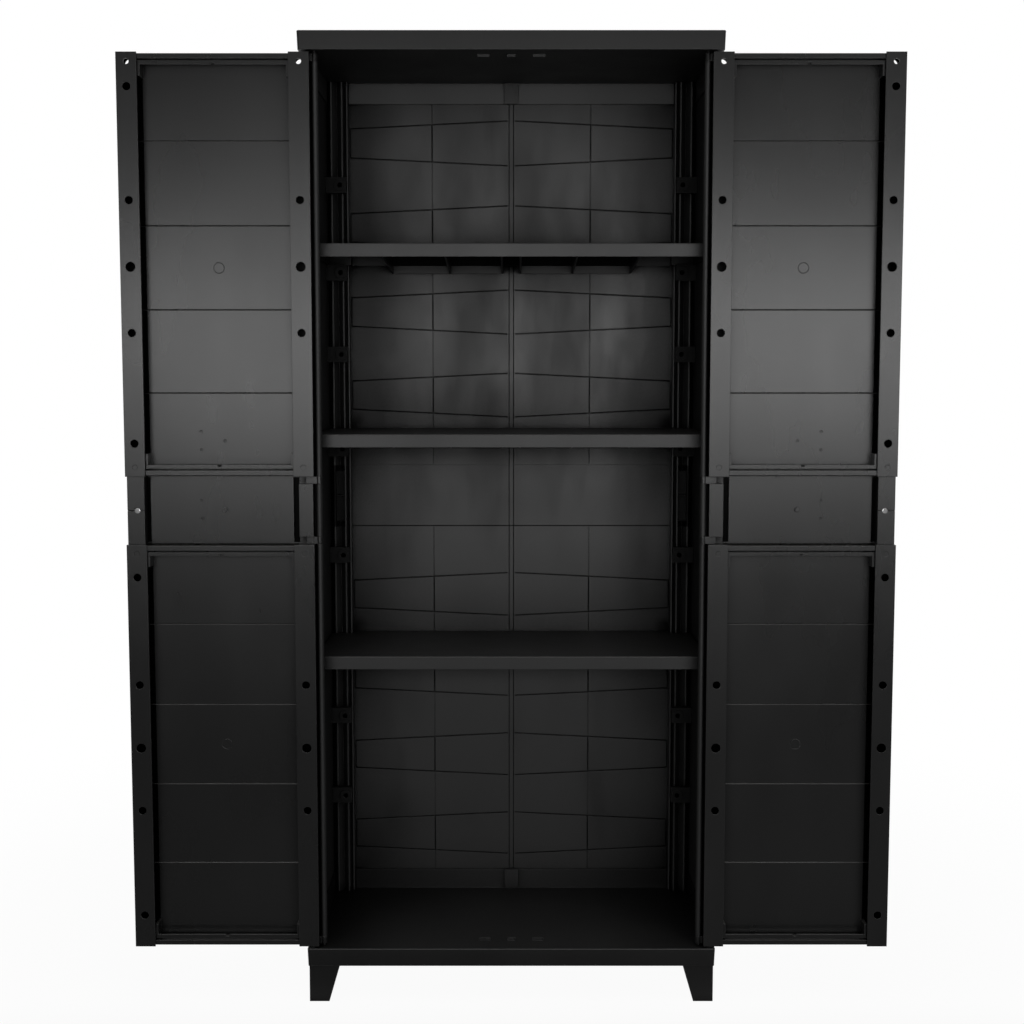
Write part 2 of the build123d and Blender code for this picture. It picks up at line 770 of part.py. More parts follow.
def make_door_belt():
    end_face_y = belt_face_y - belt_end_proud
    inner_z = (belt_bottom_z + side_wall, belt_top_z - side_wall)
    slot_x = (belt_slot_x, belt_slot_x + belt_slot_width)
    end_slot_x = (belt_end_x - belt_end_slot, belt_end_x)
    slot_y = (belt_face_y, belt_face_y + belt_step)
    hollow_x = (slot_x[1] + side_wall, end_slot_x[0] - side_wall)
    end_hollow_x = (belt_end_x + side_wall, belt_x[1] - side_wall)
    end_hollow_y = (end_face_y + side_wall, door_outer_y - door_skin)
    boss_z = (belt_middle_z - lock_boss_height / 2, belt_middle_z + lock_boss_height / 2)
    line_z = (belt_middle_z - belt_line / 2, belt_middle_z + belt_line / 2)
    with BuildPart() as belt:
        block(belt_x, (belt_face_y, door_outer_y), (belt_bottom_z, belt_top_z))
        block(hollow_x, (belt_face_y + side_wall, door_outer_y), inner_z, mode=Mode.SUBTRACT)
        block((belt_end_x, belt_x[1]), (end_face_y, belt_face_y), (belt_bottom_z, belt_top_z))
        block((belt_end_x, belt_x[1]), (end_face_y, end_face_y + belt_line), line_z, mode=Mode.SUBTRACT)
        block(slot_x, slot_y, inner_z, mode=Mode.SUBTRACT)
        block(end_slot_x, slot_y, inner_z, mode=Mode.SUBTRACT)
        for end_hollow_z in ((belt_bottom_z, boss_z[0]), (boss_z[1], belt_top_z)):
            block(end_hollow_x, end_hollow_y, end_hollow_z, mode=Mode.SUBTRACT)
        gate_marks(belt_middle_z, belt_face_y)
        with Locations((mark_x, belt_face_y, belt_middle_z)):
            Cylinder(belt_boss_radius, 2 * belt_boss_height, rotation=(90, 0, 0))
        eye_y = (door_face_y - door_thickness, door_outer_y + door_thickness)
        drilled(free_edge_x - lock_eye_inset, belt_middle_z, eye_radius, eye_y)
    return belt.part


# Hinge block: hollow block at the hinge end of the belt, with an arm at its top and bottom
def make_hinge_block():
    width = (belt_x[0], belt_x[0] + hinge_block_width)
    arm_inset = lug_play + lug_height
    height = (belt_bottom_z + arm_inset, belt_top_z - arm_inset)
    face_y = pivot_y - lug_thickness
    arm_root = (width[0], width[0] + lug_height)
    with BuildPart() as hinge:
        block(width, (face_y, belt_face_y), height)
        for arm_z in (belt_bottom_z + lug_play, belt_top_z - arm_inset):
            arm_y = (pivot_y - lug_thickness / 2, belt_face_y)
            block(arm_root, arm_y, (arm_z, arm_z + lug_height))
            hinge_lug(arm_z, arm_root[1])
        block(
            (width[0] + side_wall, width[1] - side_wall),
            (face_y + side_wall, belt_face_y),
            (height[0] + side_wall, height[1] - side_wall),
            mode=Mode.SUBTRACT,
        )
    return hinge.part


# Handle: pull bar standing in the hollow of the belt on the outer side of the door
def make_handle():
    seat_y = belt_face_y + side_wall
    bar_y = (door_outer_y + handle_stand_off, door_outer_y + handle_stand_off + handle_bar)
    width = (free_edge_x - handle_inset - handle_width, free_edge_x - handle_inset)
    height = (belt_bottom_z + handle_margin, belt_top_z - handle_margin)
    with BuildPart() as handle:
        block(width, bar_y, height)
        for foot_z in (height[0], height[1] - handle_foot):
            block(width, (seat_y, bar_y[0]), (foot_z, foot_z + handle_foot))
        fillet(handle.faces().sort_by(Axis.Y)[-1].edges(), handle_edge)
    return handle.part


os.makedirs("parts", exist_ok=True)

save(make_cover(), "top_cover")
save(make_ceiling(), "ceiling_panel")
save(make_base(), "base_tray")
save_pair(make_foot(-1), "front_foot")
save_pair(make_foot(1), "rear_foot")

save_pair(make_side_upper(), "side_upper")
save_pair(make_side_belt(), "side_belt")
save_pair(make_side_lower(), "side_lower")

save_pair(make_back_half(belt_top_z, ceiling_z, ceiling_z, -1), "back_upper")
save_pair(make_back_belt(), "back_belt")
save_pair(make_back_half(floor_z, belt_bottom_z, floor_z, 1), "back_lower")
save(make_joint_strip(), "back_joint_strip")
save(make_seam_clips(), "back_seam_clips")

save_pair(make_brackets(), "shelf_brackets")
save(make_shelf(lower_level), "lower_shelf")
save(make_shelf(middle_level), "middle_shelf")
save(make_shelf(upper_level), "upper_shelf")

save_pair(make_hinge_pins(), "hinge_pins")

free_holes = (-far_hole, -near_hole, 0, near_hole, far_hole)
hinge_holes = (-near_hole, 0, near_hole)
eye_z = door_top_z - eye_margin
upper_blind_z = belt_top_z + eye_margin
lower_blind_z = belt_bottom_z - eye_margin
mark_z = belt_top_z + mark_height
free_x = free_edge_x - stile_width
top_lug_z = door_top_z - lug_height - lug_play
bottom_lug_z = door_bottom_z + lug_play

upper_free = make_stile(belt_top_z, free_x, free_holes, eye_z, upper_blind_z, None)
upper_hinge = make_stile(belt_top_z, hinge_edge_x, hinge_holes, eye_z, upper_blind_z, top_lug_z)
lower_free = make_stile(door_bottom_z, free_x, free_holes, None, lower_blind_z, None)
lower_hinge = make_stile(door_bottom_z, hinge_edge_x, hinge_holes, None, lower_blind_z, bottom_lug_z)

save_pair(make_leaf(belt_top_z, eye_z, mark_z), "door_upper_leaf")
save_pair(upper_free, "door_upper_free_stile")
save_pair(upper_hinge, "door_upper_hinge_stile")
save_pair(make_leaf(door_bottom_z, None, None), "door_lower_leaf")
save_pair(lower_free, "door_lower_free_stile")
save_pair(lower_hinge, "door_lower_hinge_stile")
save_pair(make_door_belt(), "door_belt")
save_pair(make_hinge_block(), "door_hinge_block")
save_pair(make_handle(), "door_handle")
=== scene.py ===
import math

import bmesh
import bpy
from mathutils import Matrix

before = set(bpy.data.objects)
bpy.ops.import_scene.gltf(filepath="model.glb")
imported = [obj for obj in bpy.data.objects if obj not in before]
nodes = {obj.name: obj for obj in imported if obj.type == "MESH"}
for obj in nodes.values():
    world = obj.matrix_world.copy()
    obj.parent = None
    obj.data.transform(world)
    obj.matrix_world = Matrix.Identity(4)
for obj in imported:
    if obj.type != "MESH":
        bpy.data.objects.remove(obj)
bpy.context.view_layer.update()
print("frame loaded,", len(nodes), "pieces")

# Camera, straight in front at about chest height and tipped down a little
cameraFacts = {"lens": 55.38, "sensor": 36, "height": 1.0703, "distance": 2.560, "pitch": 5.415,
               "side": 0.0012, "frontY": -0.173, "clipEnd": 200}
cameraData = bpy.data.cameras.new("camera")
cameraData.sensor_width = cameraFacts["sensor"]
cameraData.lens = cameraFacts["lens"]
cameraData.clip_end = cameraFacts["clipEnd"]
camera = bpy.data.objects.new("camera", cameraData)
cameraY = cameraFacts["frontY"] - cameraFacts["distance"]
camera.location = (cameraFacts["side"], cameraY, cameraFacts["height"])
camera.rotation_euler = (math.radians(90 - cameraFacts["pitch"]), 0, 0)
bpy.context.collection.objects.link(camera)
bpy.context.scene.camera = camera
bpy.context.scene.view_settings.view_transform = "Standard"
print("camera set")


def addNode(tree, kind, place, **settings):
    node = tree.nodes.new(kind)
    node.location = place
    for name, value in settings.items():
        setattr(node, name, value)
    return node


def setSockets(node, **values):
    for name, value in values.items():
        node.inputs[name.replace("_", " ")].default_value = value


def newGroup(name, inputs, outputs):
    group = bpy.data.node_groups.new(name, "ShaderNodeTree")
    for label, value in inputs.items():
        socket = group.interface.new_socket(name=label, in_out="INPUT", socket_type="NodeSocketFloat")
        socket.default_value = value
    for label, kind in outputs.items():
        group.interface.new_socket(name=label, in_out="OUTPUT", socket_type=kind)
    start = addNode(group, "NodeGroupInput", (-900, 0))
    end = addNode(group, "NodeGroupOutput", (900, 0))
    return group, start, end


# Moulded grain: fine pebbled texture, slow warping of the panels, and clouds that run up and down them
grainFacts = {"detail": 2.0, "share": 0.06, "cloudDetail": 4.0, "cloudRoughness": 0.6,
              "cloudStretch": (1.0, 1.0, 0.4), "warpDetail": 1.0}


def makeGrainGroup():
    group, start, end = newGroup(
        "mouldedGrain",
        {"Grain Scale": 900.0, "Cloud Scale": 5.0, "Warp Scale": 4.0, "Warp Height": 0.6},
        {"Height": "NodeSocketFloat", "Cloud": "NodeSocketFloat"},
    )
    coords = addNode(group, "ShaderNodeTexCoord", (-900, 300))
    grain = addNode(group, "ShaderNodeTexNoise", (-500, 300), noise_dimensions="3D")
    setSockets(grain, Detail=grainFacts["detail"])
    drawn = addNode(group, "ShaderNodeMapping", (-700, 0))
    setSockets(drawn, Scale=grainFacts["cloudStretch"])
    cloud = addNode(group, "ShaderNodeTexNoise", (-500, 0), noise_dimensions="3D")
    setSockets(cloud, Detail=grainFacts["cloudDetail"], Roughness=grainFacts["cloudRoughness"])
    warp = addNode(group, "ShaderNodeTexNoise", (-500, -300), noise_dimensions="3D")
    setSockets(warp, Detail=grainFacts["warpDetail"])
    grainPart = addNode(group, "ShaderNodeMath", (-100, 300), operation="MULTIPLY")
    grainPart.inputs[1].default_value = grainFacts["share"]
    warpPart = addNode(group, "ShaderNodeMath", (-100, -300), operation="MULTIPLY")
    total = addNode(group, "ShaderNodeMath", (200, 0), operation="ADD")
    group.links.new(coords.outputs["Object"], drawn.inputs["Vector"])
    group.links.new(coords.outputs["Object"], grain.inputs["Vector"])
    group.links.new(drawn.outputs["Vector"], cloud.inputs["Vector"])
    group.links.new(coords.outputs["Object"], warp.inputs["Vector"])
    for texture, scale in ((grain, "Grain Scale"), (cloud, "Cloud Scale"), (warp, "Warp Scale")):
        group.links.new(start.outputs[scale], texture.inputs["Scale"])
    group.links.new(grain.outputs["Fac"], grainPart.inputs[0])
    group.links.new(warp.outputs["Fac"], warpPart.inputs[0])
    group.links.new(start.outputs["Warp Height"], warpPart.inputs[1])
    group.links.new(grainPart.outputs[0], total.inputs[0])
    group.links.new(warpPart.outputs[0], total.inputs[1])
    group.links.new(total.outputs[0], end.inputs["Height"])
    group.links.new(cloud.outputs["Fac"], end.inputs["Cloud"])
    return group


# Edge wear and painted highlight: rounded edges, and a mask of where they are, broken up so that it isn't an
# even line; the mask paints the edges lighter, partly as wear and partly as painted highlight
edgeFacts = {"samples": 4, "flat": 0.995, "turned": 0.80, "breakFrom": 0.3, "breakTo": 0.7, "leastWearAndHighlight": 0.35}


def makeEdgeGroup():
    group, start, end = newGroup(
        "edgeWearAndHighlight",
        {"Radius": 0.0015, "Break Up": 40.0},
        {"Mask": "NodeSocketFloat", "Normal": "NodeSocketVector"},
    )
    rounded = addNode(group, "ShaderNodeBevel", (-500, 200), samples=edgeFacts["samples"])
    surface = addNode(group, "ShaderNodeNewGeometry", (-500, -100))
    coords = addNode(group, "ShaderNodeTexCoord", (-900, -300))
    patchy = addNode(group, "ShaderNodeTexNoise", (-500, -400), noise_dimensions="3D")
    agree = addNode(group, "ShaderNodeVectorMath", (-200, 100), operation="DOT_PRODUCT")
    turned = addNode(group, "ShaderNodeMapRange", (100, 100))
    setSockets(turned, From_Min=edgeFacts["flat"], From_Max=edgeFacts["turned"])
    wornAndLitEdge = addNode(group, "ShaderNodeMapRange", (-200, -400))
    setSockets(wornAndLitEdge, From_Min=edgeFacts["breakFrom"], From_Max=edgeFacts["breakTo"],
               To_Min=edgeFacts["leastWearAndHighlight"])
    mask = addNode(group, "ShaderNodeMath", (400, 0), operation="MULTIPLY")
    group.links.new(start.outputs["Radius"], rounded.inputs["Radius"])
    group.links.new(start.outputs["Break Up"], patchy.inputs["Scale"])
    group.links.new(coords.outputs["Object"], patchy.inputs["Vector"])
    group.links.new(rounded.outputs["Normal"], agree.inputs[0])
    group.links.new(surface.outputs["Normal"], agree.inputs[1])
    group.links.new(agree.outputs["Value"], turned.inputs["Value"])
    group.links.new(patchy.outputs["Fac"], wornAndLitEdge.inputs["Value"])
    group.links.new(turned.outputs["Result"], mask.inputs[0])
    group.links.new(wornAndLitEdge.outputs["Result"], mask.inputs[1])
    group.links.new(mask.outputs[0], end.inputs["Mask"])
    group.links.new(rounded.outputs["Normal"], end.inputs["Normal"])
    return group


# Dust and painted top light: a thin pale film on what faces upwards, in patches; laid on thick, as on the
# door leaves, it is a painted highlight on the upward flanks of the board grooves
dustAndTopLightFacts = {"steep": 0.4, "level": 1.0, "detail": 6.0, "colour": (0.16, 0.155, 0.145, 1)}


def makeDustAndTopLightGroup():
    group, start, end = newGroup(
        "dustAndPaintedTopLight",
        {"Amount": 0.1, "Patch Scale": 9.0},
        {"Mask": "NodeSocketFloat"},
    )
    surface = addNode(group, "ShaderNodeNewGeometry", (-500, 200))
    split = addNode(group, "ShaderNodeSeparateXYZ", (-300, 200))
    facing = addNode(group, "ShaderNodeMapRange", (-100, 200))
    setSockets(facing, From_Min=dustAndTopLightFacts["steep"], From_Max=dustAndTopLightFacts["level"])
    coords = addNode(group, "ShaderNodeTexCoord", (-900, -200))
    patches = addNode(group, "ShaderNodeTexNoise", (-500, -200), noise_dimensions="3D")
    setSockets(patches, Detail=dustAndTopLightFacts["detail"])
    film = addNode(group, "ShaderNodeMath", (200, 100), operation="MULTIPLY")
    amount = addNode(group, "ShaderNodeMath", (500, 0), operation="MULTIPLY")
    group.links.new(surface.outputs["Normal"], split.inputs[0])
    group.links.new(split.outputs["Z"], facing.inputs["Value"])
    group.links.new(coords.outputs["Object"], patches.inputs["Vector"])
    group.links.new(start.outputs["Patch Scale"], patches.inputs["Scale"])
    group.links.new(facing.outputs["Result"], film.inputs[0])
    group.links.new(patches.outputs["Fac"], film.inputs[1])
    group.links.new(film.outputs[0], amount.inputs[0])
    group.links.new(start.outputs["Amount"], amount.inputs[1])
    group.links.new(amount.outputs[0], end.inputs["Mask"])
    return group


# Painted corner shade: a mask of narrow slots and tight corners, and of deep holes and hollows, which swallow
# the light; the plastic is painted black where it is set
paintedCornerShadeFacts = {"samples": 4}


def makePaintedCornerShadeGroup():
    group, start, end = newGroup(
        "paintedShadeInCorners",
        {"Reach": 0.04, "Reach Open": 0.70, "Reach Shut": 0.20,
         "Depth": 0.06, "Depth Open": 0.40, "Depth Shut": 0.10, "Strength": 1.0},
        {"Mask": "NodeSocketFloat"},
    )
    either = addNode(group, "ShaderNodeMath", (300, 0), operation="MAXIMUM")
    for row, label in enumerate(("Reach", "Depth")):
        openness = addNode(group, "ShaderNodeAmbientOcclusion", (-400, 200 - 400 * row),
                           samples=paintedCornerShadeFacts["samples"])
        closed = addNode(group, "ShaderNodeMapRange", (0, 200 - 400 * row), interpolation_type="SMOOTHSTEP")
        group.links.new(start.outputs[label], openness.inputs["Distance"])
        group.links.new(start.outputs[label + " Open"], closed.inputs["From Min"])
        group.links.new(start.outputs[label + " Shut"], closed.inputs["From Max"])
        group.links.new(openness.outputs["AO"], closed.inputs["Value"])
        group.links.new(closed.outputs["Result"], either.inputs[row])
    mask = addNode(group, "ShaderNodeMath", (600, 0), operation="MULTIPLY")
    group.links.new(either.outputs[0], mask.inputs[0])
    group.links.new(start.outputs["Strength"], mask.inputs[1])
    group.links.new(mask.outputs[0], end.inputs["Mask"])
    return group


# Painted slot shade: a mask of the surfaces inside a box, left and right alike, except those that face
# upwards, which are painted black as shade
slotFacing = {"upFrom": 0.5}


def makeSlotGroup():
    group, start, end = newGroup(
        "paintedShadeInSlot",
        {"Middle X": 0.0, "Half X": 1.0, "Middle Y": 0.0, "Half Y": 1.0, "Middle Z": 0.0, "Half Z": 1.0,
         "Strength": 1.0},
        {"Mask": "NodeSocketFloat"},
    )
    coords = addNode(group, "ShaderNodeTexCoord", (-900, 300))
    place = addNode(group, "ShaderNodeSeparateXYZ", (-700, 300))
    across = addNode(group, "ShaderNodeMath", (-500, 400), operation="ABSOLUTE")
    surface = addNode(group, "ShaderNodeNewGeometry", (-700, -200))
    facing = addNode(group, "ShaderNodeSeparateXYZ", (-500, -200))
    sideways = addNode(group, "ShaderNodeMath", (-300, -200), operation="LESS_THAN")
    sideways.inputs[1].default_value = slotFacing["upFrom"]
    unlit = addNode(group, "ShaderNodeMath", (-100, -200), operation="MULTIPLY")
    group.links.new(coords.outputs["Object"], place.inputs[0])
    group.links.new(place.outputs["X"], across.inputs[0])
    group.links.new(surface.outputs["Normal"], facing.inputs[0])
    group.links.new(facing.outputs["Z"], sideways.inputs[0])
    group.links.new(sideways.outputs[0], unlit.inputs[0])
    group.links.new(start.outputs["Strength"], unlit.inputs[1])
    mask = unlit.outputs[0]
    for row, (axis, distance) in enumerate((("X", across.outputs[0]), ("Y", place.outputs["Y"]),
                                            ("Z", place.outputs["Z"]))):
        within = addNode(group, "ShaderNodeMath", (-300, 500 - 200 * row), operation="COMPARE")
        inside = addNode(group, "ShaderNodeMath", (100 + 200 * row, 100), operation="MULTIPLY")
        group.links.new(distance, within.inputs[0])
        group.links.new(start.outputs["Middle " + axis], within.inputs[1])
        group.links.new(start.outputs["Half " + axis], within.inputs[2])
        group.links.new(within.outputs[0], inside.inputs[0])
        group.links.new(mask, inside.inputs[1])
        mask = inside.outputs[0]
    group.links.new(mask, end.inputs["Mask"])
    return group


grainGroup = makeGrainGroup()
edgeGroup = makeEdgeGroup()
dustAndTopLightGroup = makeDustAndTopLightGroup()
paintedCornerShadeGroup = makePaintedCornerShadeGroup()
slotGroup = makeSlotGroup()
print("node groups made")


# Painted shade in unlit places: the boards behind and beside the stiles, the floors of the belts' slots, the
# shelves' underside, the seam under the belt of the back, and the pockets in the belts of the sides
def boxOf(name):
    corners = nodes[name].bound_box
    return [(min(values), max(values)) for values in zip(*corners)]


def slotOf(ranges, strength):
    slot = {"Strength": strength}
    for axis, (low, high) in ranges.items():
        slot["Middle " + axis] = (low + high) / 2
        slot["Half " + axis] = (high - low) / 2
    return slot


slotFacts = {"anywhere": (-5.0, 5.0), "beside": 0.0026, "skinPlay": 0.001, "boardStrength": 1.0, "lip": 0.008,
             "lipStrength": 0.6, "seam": 0.0011, "seamStrength": 0.8, "pocketX": (0.302, 0.329),
             "pocketY": (0.02, 0.2), "pocketStrength": 0.8}
freeStile = boxOf("right_door_upper_free_stile")
hingeStile = boxOf("right_door_upper_hinge_stile")
shelfBox = boxOf("upper_shelf")
seamZ = boxOf("left_back_lower")[2][1]
everywhere = {axis: slotFacts["anywhere"] for axis in "XYZ"}
boardY = freeStile[1][1]
boardFace = {**everywhere, "Y": (boardY - slotFacts["skinPlay"], boardY + slotFacts["skinPlay"])}
besideFreeStile = {**boardFace, "X": (freeStile[0][0] - slotFacts["beside"], freeStile[0][1])}
behindHingeStile = {**boardFace, "X": hingeStile[0]}
behindLip = {**everywhere, "Y": (shelfBox[1][0] + slotFacts["lip"], shelfBox[1][1])}
alongSeam = {**everywhere, "Z": (seamZ - slotFacts["seam"], seamZ + slotFacts["seam"])}
pocket = {**everywhere, "X": slotFacts["pocketX"], "Y": slotFacts["pocketY"]}
leafSlots = [slotOf(ranges, slotFacts["boardStrength"]) for ranges in (besideFreeStile, behindHingeStile)]
beltSlots = [slotOf(boardFace, slotFacts["boardStrength"])]
shelfSlots = [slotOf(behindLip, slotFacts["lipStrength"])]
backSlots = [slotOf(alongSeam, slotFacts["seamStrength"])]
sideBeltSlots = [slotOf(pocket, slotFacts["pocketStrength"])]
print("unlit slots placed")

# Black plastic, with its own gloss and grain for each kind of moulding, and its own painted shade in corners
# and slots and painted highlight on edges and upward faces
plainFinish = {"tone": 0.010, "roughness": 0.28, "patchy": 0.03, "specular": 0.5, "grainScale": 900,
               "cloudScale": 5.0, "warp": 0.5, "bump": 0.12, "edgeRadius": 0.0012, "edgeWearAndHighlightTone": 0.06,
               "edgeRoughness": 0.38, "dustAndTopLight": 0.04, "paintedCornerShade": {"Reach": 0.014}, "slots": []}
sideFinish = {**plainFinish, "roughness": 0.50, "patchy": 0.06, "grainScale": 750, "bump": 0.14,
              "edgeRoughness": 0.45, "dustAndTopLight": 0.02, "paintedCornerShade": {"Reach": 0.016, "Strength": 0.86}}
finishes = {
    "doorPlastic": plainFinish,
    # On the door leaves the pale film on what faces upwards is a painted highlight on the upward flanks of
    # the board grooves, the lighter edges are partly wear and partly painted highlight, and the slots beside
    # and behind the stiles are painted shade
    "leafPlastic": {**plainFinish, "edgeWearAndHighlightTone": 0.10, "dustAndTopLight": 0.5, "slots": leafSlots},
    "beltPlastic": {**plainFinish, "slots": beltSlots},
    "casePlastic": {**plainFinish, "roughness": 0.34, "specular": 0.30, "grainScale": 800,
                    "edgeRadius": 0.0015, "edgeWearAndHighlightTone": 0.08, "edgeRoughness": 0.40,
                    "paintedCornerShade": {"Reach": 0.030}},
    "trayPlastic": {**plainFinish, "roughness": 0.42, "grainScale": 800, "edgeRadius": 0.0015,
                    "edgeWearAndHighlightTone": 0.08, "edgeRoughness": 0.40,
                    "paintedCornerShade": {"Reach": 0.030, "Depth": 0.30, "Depth Open": 0.85, "Depth Shut": 0.25,
                                "Strength": 0.85}},
    "sidePlastic": sideFinish,
    "sideBeltPlastic": {**sideFinish, "slots": sideBeltSlots},
    "bracketPlastic": {**plainFinish, "tone": 0.005, "roughness": 0.70, "patchy": 0.05, "specular": 0.2,
                       "grainScale": 750, "bump": 0.14, "edgeRadius": 0.0010, "edgeRoughness": 0.45,
                       "dustAndTopLight": 0.02, "paintedCornerShade": {"Reach": 0.012}},
    "backPlastic": {**plainFinish, "roughness": 0.46, "patchy": 0.12, "specular": 0.57, "grainScale": 700,
                    "cloudScale": 9.0, "warp": 0.7, "bump": 0.14, "edgeRadius": 0.0010, "edgeWearAndHighlightTone": 0.08,
                    "edgeRoughness": 0.45, "dustAndTopLight": 0.02,
                    "paintedCornerShade": {"Reach": 0.030, "Reach Open": 0.80, "Reach Shut": 0.50,
                                "Depth": 0.20, "Depth Open": 0.85, "Depth Shut": 0.20},
                    "slots": backSlots},
    "shelfPlastic": {**plainFinish, "roughness": 0.44, "patchy": 0.04, "grainScale": 750, "warp": 0.4,
                     "edgeWearAndHighlightTone": 0.09, "edgeRoughness": 0.42, "dustAndTopLight": 0.05, "paintedCornerShade": {"Reach": 0.045},
                     "slots": shelfSlots},
    "pinPlastic": {**plainFinish, "tone": 0.015, "roughness": 0.30, "grainScale": 1200, "warp": 0.1,
                   "bump": 0.08, "edgeRadius": 0.0004, "edgeWearAndHighlightTone": 0.03, "edgeRoughness": 0.35, "dustAndTopLight": 0.0,
                   "paintedCornerShade": {"Reach": 0.010}},
}
plasticFacts = {"toneLow": 0.75, "toneHigh": 1.25, "paintedShadeTone": 0.002, "cloudFrom": 0.3, "cloudTo": 0.7,
                "bumpHeight": 0.004}


def grey(level):
    return (level, level, level, 1)


# Painted shade: where the plastic lies in the dark, its sheltered corners and its unlit slots
def paintedShadeMask(tree, facts):
    paintedCornerShade = addNode(tree, "ShaderNodeGroup", (-900, -600), node_tree=paintedCornerShadeGroup)
    for label, value in facts["paintedCornerShade"].items():
        paintedCornerShade.inputs[label].default_value = value
    mask = paintedCornerShade.outputs["Mask"]
    for slot in facts["slots"]:
        unlit = addNode(tree, "ShaderNodeGroup", (-900, -800), node_tree=slotGroup)
        for label, value in slot.items():
            unlit.inputs[label].default_value = value
        either = addNode(tree, "ShaderNodeMath", (-700, -700), operation="MAXIMUM")
        tree.links.new(mask, either.inputs[0])
        tree.links.new(unlit.outputs["Mask"], either.inputs[1])
        mask = either.outputs[0]
    return mask


def makePlastic(name, facts):
    material = bpy.data.materials.new(name)
    material.use_nodes = True
    tree = material.node_tree
    shader = tree.nodes["Principled BSDF"]
    setSockets(shader, Specular_IOR_Level=facts["specular"])
    grain = addNode(tree, "ShaderNodeGroup", (-900, 0), node_tree=grainGroup)
    setSockets(grain, Grain_Scale=facts["grainScale"], Cloud_Scale=facts["cloudScale"],
               Warp_Height=facts["warp"])
    edge = addNode(tree, "ShaderNodeGroup", (-900, -300), node_tree=edgeGroup)
    setSockets(edge, Radius=facts["edgeRadius"])
    dustAndTopLight = addNode(tree, "ShaderNodeGroup", (-900, 300), node_tree=dustAndTopLightGroup)
    setSockets(dustAndTopLight, Amount=facts["dustAndTopLight"])
    paintedShade = paintedShadeMask(tree, facts)

    tone = addNode(tree, "ShaderNodeMix", (-600, 300), data_type="RGBA")
    setSockets(tone, A=grey(facts["tone"] * plasticFacts["toneLow"]),
               B=grey(facts["tone"] * plasticFacts["toneHigh"]))
    tree.links.new(grain.outputs["Cloud"], tone.inputs["Factor"])
    # Lighter edges, partly wear and partly painted highlight; then dust and painted top light on what faces
    # upwards
    wornAndLitEdge = addNode(tree, "ShaderNodeMix", (-400, 300), data_type="RGBA")
    setSockets(wornAndLitEdge, B=grey(facts["edgeWearAndHighlightTone"]))
    tree.links.new(tone.outputs["Result"], wornAndLitEdge.inputs["A"])
    tree.links.new(edge.outputs["Mask"], wornAndLitEdge.inputs["Factor"])
    dustyAndTopLit = addNode(tree, "ShaderNodeMix", (-200, 300), data_type="RGBA")
    setSockets(dustyAndTopLit, B=dustAndTopLightFacts["colour"])
    tree.links.new(wornAndLitEdge.outputs["Result"], dustyAndTopLit.inputs["A"])
    tree.links.new(dustAndTopLight.outputs["Mask"], dustyAndTopLit.inputs["Factor"])
    # Painted shade: the sheltered corners and unlit slots are painted near black, and metallic with a black
    # base takes their gloss away head-on
    dark = addNode(tree, "ShaderNodeMix", (0, 300), data_type="RGBA")
    setSockets(dark, B=grey(plasticFacts["paintedShadeTone"]))
    tree.links.new(dustyAndTopLit.outputs["Result"], dark.inputs["A"])
    tree.links.new(paintedShade, dark.inputs["Factor"])
    tree.links.new(dark.outputs["Result"], shader.inputs["Base Color"])
    tree.links.new(paintedShade, shader.inputs["Metallic"])  # no gloss head-on where it is black

    gloss = addNode(tree, "ShaderNodeMapRange", (-600, 0))
    setSockets(gloss, From_Min=plasticFacts["cloudFrom"], From_Max=plasticFacts["cloudTo"],
               To_Min=facts["roughness"] - facts["patchy"], To_Max=facts["roughness"] + facts["patchy"])
    tree.links.new(grain.outputs["Cloud"], gloss.inputs["Value"])
    rubbed = addNode(tree, "ShaderNodeMix", (-300, 0), data_type="FLOAT")
    setSockets(rubbed, B=facts["edgeRoughness"])
    tree.links.new(gloss.outputs["Result"], rubbed.inputs["A"])
    tree.links.new(edge.outputs["Mask"], rubbed.inputs["Factor"])
    tree.links.new(rubbed.outputs["Result"], shader.inputs["Roughness"])

    bump = addNode(tree, "ShaderNodeBump", (-300, -300))
    setSockets(bump, Strength=facts["bump"], Distance=plasticFacts["bumpHeight"])
    tree.links.new(grain.outputs["Height"], bump.inputs["Height"])
    tree.links.new(edge.outputs["Normal"], bump.inputs["Normal"])
    tree.links.new(bump.outputs["Normal"], shader.inputs["Normal"])
    return material


# The first words that a piece's name holds choose its finish
finishWords = {"hinge_pins": "pinPlastic", "shelf_brackets": "bracketPlastic", "shelf": "shelfPlastic",
               "leaf": "leafPlastic", "door_belt": "beltPlastic", "door": "doorPlastic",
               "back": "backPlastic", "side_belt": "sideBeltPlastic", "side": "sidePlastic",
               "ceiling": "sidePlastic", "tray": "trayPlastic", "": "casePlastic"}


def finishOf(name):
    return next(finish for words, finish in finishWords.items() if words in name)


plastics = {name: makePlastic(name, facts) for name, facts in finishes.items()}
for name, node in nodes.items():
    node.data.materials.clear()
    node.data.materials.append(plastics[finishOf(name)])
print("plastic applied to", len(nodes), "pieces")

# Floor: pale, and plain white to the camera further away, so that it runs into the background; the doors
# mirror less of it in front, where the room is dark
floorFacts = {"reach": 60.0, "roughness": 0.9, "specular": 0.1, "tone": 0.80, "nearTone": 0.19,
              "farTone": 0.06, "paleFromY": -0.17, "darkFromY": -0.26, "nearFromY": -0.7, "farFromY": -1.8,
              "nearWhite": 0.95, "fadeFrom": 0.5, "fadeTo": 2.0}


